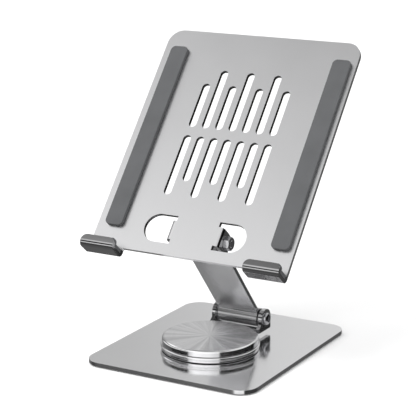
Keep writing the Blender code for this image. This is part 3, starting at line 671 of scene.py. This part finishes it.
# ---------------------------------------------------------------- floor
floor_mesh = bmesh.new()
bmesh.ops.create_grid(floor_mesh, x_segments=1, y_segments=1, size=30.0)
floor = bpy.data.objects.new("studio_floor", bpy.data.meshes.new("studio_floor"))
floor_mesh.to_mesh(floor.data)
floor_mesh.free()
bpy.context.scene.collection.objects.link(floor)
floor.location = (0, 0, -0.0001)
floor_look = Look("studio_floor_paint", Roughness=1.0)
floor_look.link(floor_look.blend(floor_look.spread(floor_look.noise(scale=0.8, detail=2.0), 0.0, 1.0),
                                 (0.93, 0.93, 0.93), (0.94, 0.94, 0.94)), "Base Color")
floor_look.shader.inputs["Specular IOR Level"].default_value = 0.0
floor.data.materials.append(floor_look.mat)
floor.visible_glossy = False
floor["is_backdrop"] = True

# ---------------------------------------------------------------- surround
# The steel mirrors this painted surround of light and dark zones. Height runs from 0, straight down, to 1,
# straight up. Bearings are in degrees from the front (-Y), turning towards +X. A stop is a place and a grey.
world = bpy.data.worlds.new("studio")
bpy.context.scene.world = world
world.use_nodes = True
tree = world.node_tree


def world_node(kind, inputs=(), **settings):
    made = tree.nodes.new("ShaderNode" + kind)
    for key, value in settings.items():
        setattr(made, key, value)
    for i, value in enumerate(inputs):
        if isinstance(value, bpy.types.NodeSocket):
            tree.links.new(value, made.inputs[i])
        else:
            made.inputs[i].default_value = value
    return made


def ramp(value, *stops):
    made = world_node("ValToRGB", [value])
    made.color_ramp.interpolation = "EASE"
    while len(made.color_ramp.elements) < len(stops):
        made.color_ramp.elements.new(0.5)
    for element, (place, grey) in zip(made.color_ramp.elements, stops):
        element.position, element.color = place, (grey, grey, grey, 1)
    return made.outputs[0]


def shade(low, high, fac):
    made = tree.nodes.new("ShaderNodeMix")
    made.data_type = "FLOAT"
    for socket, value in ((0, fac), (2, low), (3, high)):
        tree.links.new(value, made.inputs[socket])
    return made.outputs[0]


def times(a, b):
    return world_node("Math", [a, b], operation="MULTIPLY").outputs[0]


direction = world_node("TexCoord").outputs["Generated"]
apart = world_node("SeparateXYZ", [direction])
height = world_node("MapRange", [apart.outputs[2], -1.0, 1.0, 0.0, 1.0]).outputs[0]
ahead = times(apart.outputs[1], -1.0)
bearing = world_node("Math", [apart.outputs[0], ahead], operation="ARCTAN2").outputs[0]
around = world_node("MapRange", [bearing, -math.pi, math.pi, 0.0, 1.0]).outputs[0]


def bearings(*stops):
    return ramp(around, *(((degrees + 180.0) / 360.0, grey) for degrees, grey in stops))


horizon = bearings((-180, 0.76), (-156, 0.92), (-146, 0.66), (-128, 0.42), (-112, 0.20), (-84, 0.14),
                   (-70, 0.01), (-28, 0.01), (-19, 1.1), (-8, 1.5), (20, 1.4), (48, 1.0), (54, 0.05),
                   (72, 0.04), (78, 0.005), (153, 0.005), (160, 0.50), (172, 0.60), (180, 0.72))
below = bearings((-180, 0.25), (-100, 0.20), (-70, 0.06), (-34, 0.14), (-20, 0.30), (0, 1.7), (46, 1.7),
                 (54, 0.02), (144, 0.02), (152, 0.14), (172, 0.14), (180, 0.25))
ground = ramp(height, (0.0, 0.26), (0.2, 0.20), (0.3, 0.12))
sky = ramp(height, (0.55, 1.60), (0.86, 1.52), (0.93, 1.22), (1.0, 0.8))

DIM_BEARING, DIM_ELEVATION = math.radians(-85), math.radians(68)
dim_spot = Vector((math.sin(DIM_BEARING), -math.cos(DIM_BEARING), math.tan(DIM_ELEVATION))).normalized()
toward = world_node("VectorMath", [direction, tuple(dim_spot)], operation="DOT_PRODUCT").outputs["Value"]
ceiling = world_node("MapRange", [toward, 0.883, 0.985, 1.0, 0.10]).outputs[0]
rear_dim = bearings((-180, 0.68), (-130, 0.74), (-98, 1.0), (-15, 1.0), (20, 0.8), (60, 0.68), (180, 0.68))
sky = times(times(sky, ceiling), rear_dim)

upper_half = shade(horizon, sky, ramp(height, (0.70, 0.0), (0.78, 1.0)))
lower_half = shade(ground, below, ramp(height, (0.26, 0.0), (0.36, 1.0)))
light = shade(lower_half, upper_half, ramp(height, (0.485, 0.0), (0.515, 1.0)))
skirting = ramp(height, (0.425, 0.0), (0.45, 1.0), (0.56, 1.0), (0.595, 0.0))
lit_side = bearings((-180, 0.0), (-120, 0.0), (-100, 1.6), (-20, 1.6), (0, 0.0), (180, 0.0))
light = world_node("Math", [light, times(skirting, lit_side)], operation="MAXIMUM").outputs[0]

# Behind the object the camera sees plain white paper in place of the surround.
paper = world_node("Value").outputs[0]
paper.default_value = 1.3
seen = shade(light, paper, world_node("LightPath").outputs["Is Camera Ray"])
tree.links.new(seen, tree.nodes["Background"].inputs["Color"])
tree.nodes["Background"].inputs["Strength"].default_value = 0.80

# ---------------------------------------------------------------- lamps
key_data = bpy.data.lights.new("key_light", "AREA")
key_data.shape, key_data.size, key_data.energy = "DISK", 1.6, 40.0
key = bpy.data.objects.new("key_light", key_data)
key.location = (-1.0, -1.6, 2.4)
key.rotation_mode = "QUATERNION"
key.rotation_quaternion = (Vector((0, 0, 0.1)) - key.location).to_track_quat("-Z", "Y")

sun = bpy.data.objects.new("soft_sun", bpy.data.lights.new("soft_sun", "SUN"))
sun.data.energy, sun.data.angle = 1.6, math.radians(150)
sun.rotation_euler = (math.radians(12), math.radians(8), 0)

for lamp in (key, sun):
    lamp.visible_glossy = False
    bpy.context.scene.collection.objects.link(lamp)

# ---------------------------------------------------------------- camera
# A long lens a little over a metre away, to the right of the front and above.
camera = bpy.data.cameras.new("camera")
camera.lens, camera.sensor_width = 135.44, 36.0
camera.clip_start, camera.clip_end = 0.05, 100.0
view = bpy.data.objects.new("camera", camera)
bpy.context.scene.collection.objects.link(view)
view.location = (0.58748, -1.04955, 0.42794)
view.rotation_euler = (math.radians(90 - 14.306), math.radians(-0.058), math.radians(29.343))
bpy.context.scene.camera = view
bpy.context.scene.view_settings.view_transform = "Standard"

low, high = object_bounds()
